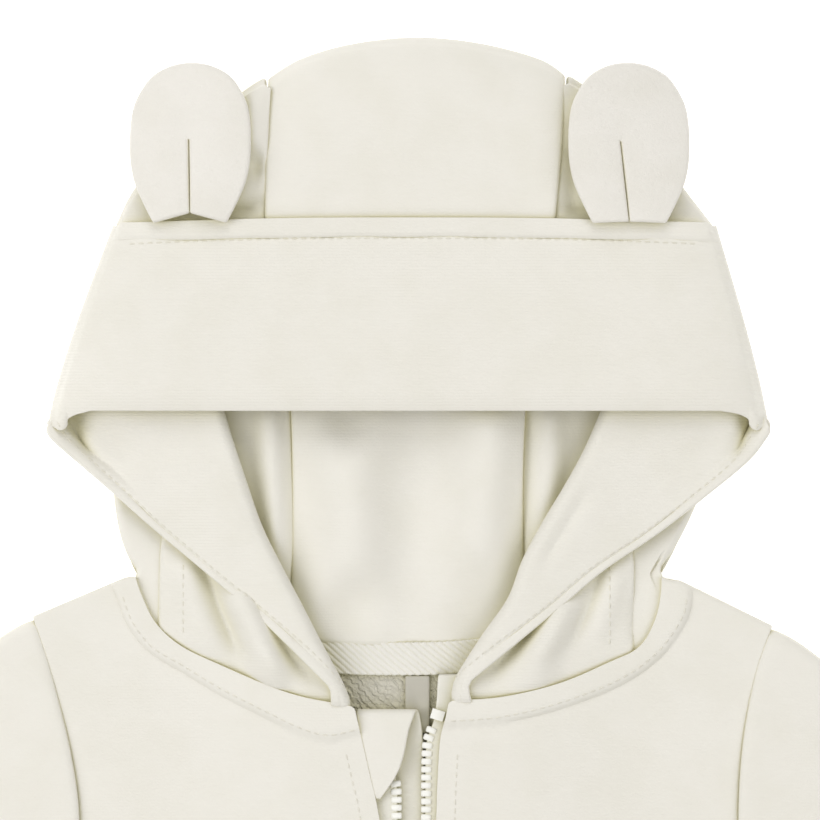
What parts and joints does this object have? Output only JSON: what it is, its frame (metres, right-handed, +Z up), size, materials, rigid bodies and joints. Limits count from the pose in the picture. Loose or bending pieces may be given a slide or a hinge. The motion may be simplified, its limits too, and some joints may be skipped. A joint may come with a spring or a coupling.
{
  "type": "baby's hooded zip jacket",
  "caption": "Cream fleece baby jacket laid flat on its back, with long sleeves, a hood with a wide turned-back band and round ears, and a front zip open at the neck.",
  "frame": {"origin": "middle of the jacket's outline, on the surface that it lies on", "axes": "+Y from the hem to the crown of the hood, +Z up from the surface, +X towards the picture's right"},
  "size_m": [0.4818, 0.4882, 0.0194],
  "materials": {
    "fleece": "soft matte knit",
    "ear_cloth": "short fluffy pile",
    "tape": "woven herringbone",
    "label": "smooth woven",
    "zip_tape": "woven tape with moulded teeth",
    "zip_metal": "satin paint"
  },
  "bodies": {
    "garment": {"back": "fleece", "front_left": "fleece", "front_right": "fleece", "sleeve_left": "fleece", "sleeve_right": "fleece", "hood_centre": "fleece", "hood_side_left": "fleece", "hood_side_right": "fleece", "hood_band": "fleece", "zip_underlap": "fleece", "ear_left": "ear_cloth", "ear_right": "ear_cloth", "neck_tape": "tape", "label": "label", "zip_left": "zip_tape", "zip_right": "zip_tape", "zip_slider": "zip_metal"},
    "pull_tab": {"zip_pull": "zip_metal"}
  },
  "joints": [
    {"name": "pull_hinge", "type": "hinge", "parent": "garment", "child": "pull_tab", "pos_m": [0.0021, -0.0306, 0.0076], "axis": [-1, 0, 0], "range_deg": [0, 160]}
  ]
}
